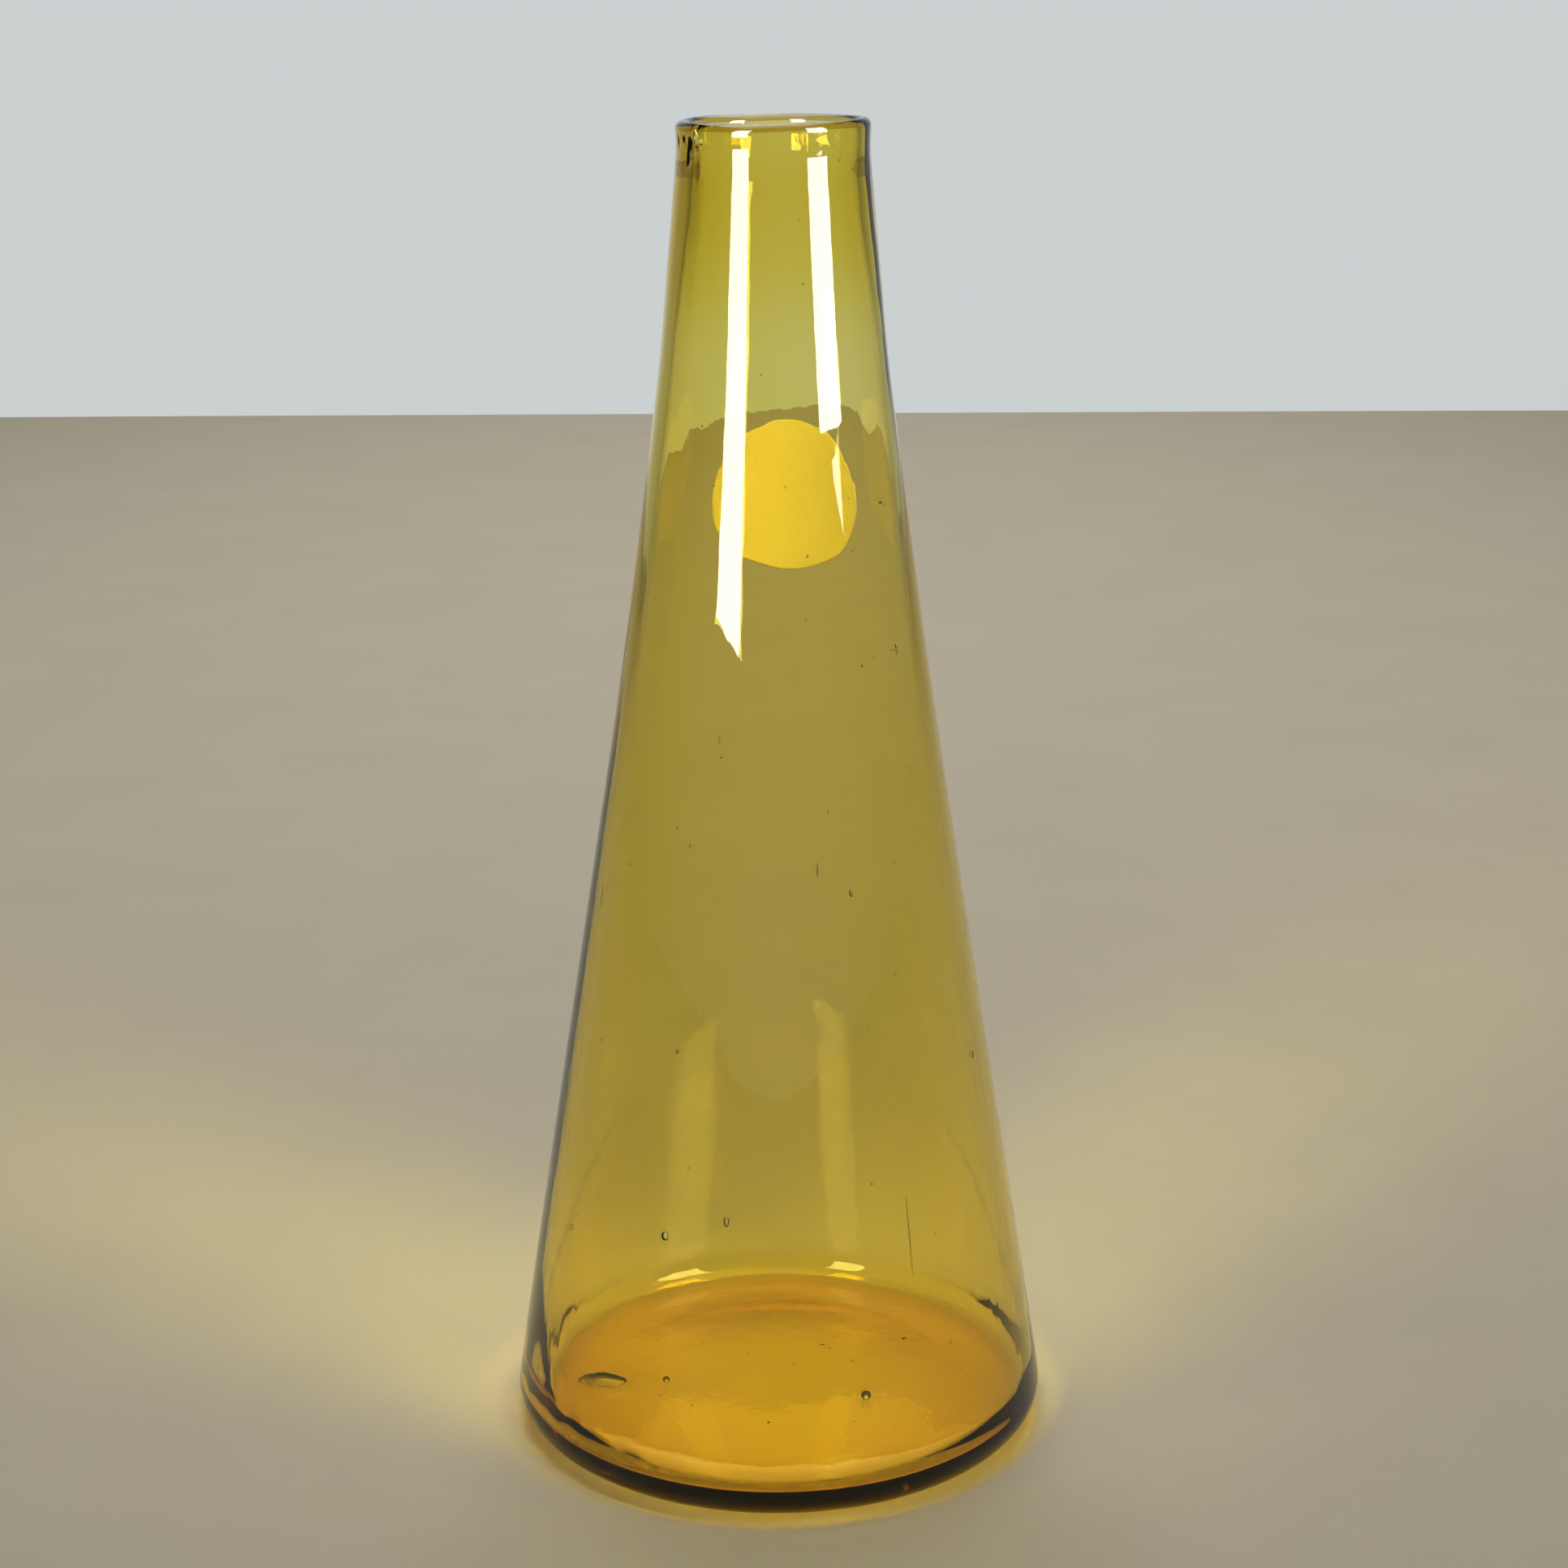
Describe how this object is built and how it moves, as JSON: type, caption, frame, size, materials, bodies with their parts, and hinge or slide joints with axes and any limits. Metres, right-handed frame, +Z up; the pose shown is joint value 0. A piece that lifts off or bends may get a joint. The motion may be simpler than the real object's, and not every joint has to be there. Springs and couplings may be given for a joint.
{
  "type": "conical glass flask",
  "caption": "Hand-blown conical flask in transparent amber glass, with a thick rounded base, a short cylindrical neck with a fire-polished lip, and a blank round adhesive label.",
  "frame": {"origin": "centre of the flat foot ring, on the surface that the flask stands on", "axes": "+Z up along the flask's axis, towards the mouth; +Y towards the side that carries the label; +X to the right when the label is at the back"},
  "size_m": [0.1032, 0.1032, 0.25],
  "materials": {
    "amber_glass": "polished",
    "paper_label": "matte"
  },
  "bodies": {
    "root": {"flask_body": "amber_glass", "round_label": "paper_label"}
  },
  "joints": []
}
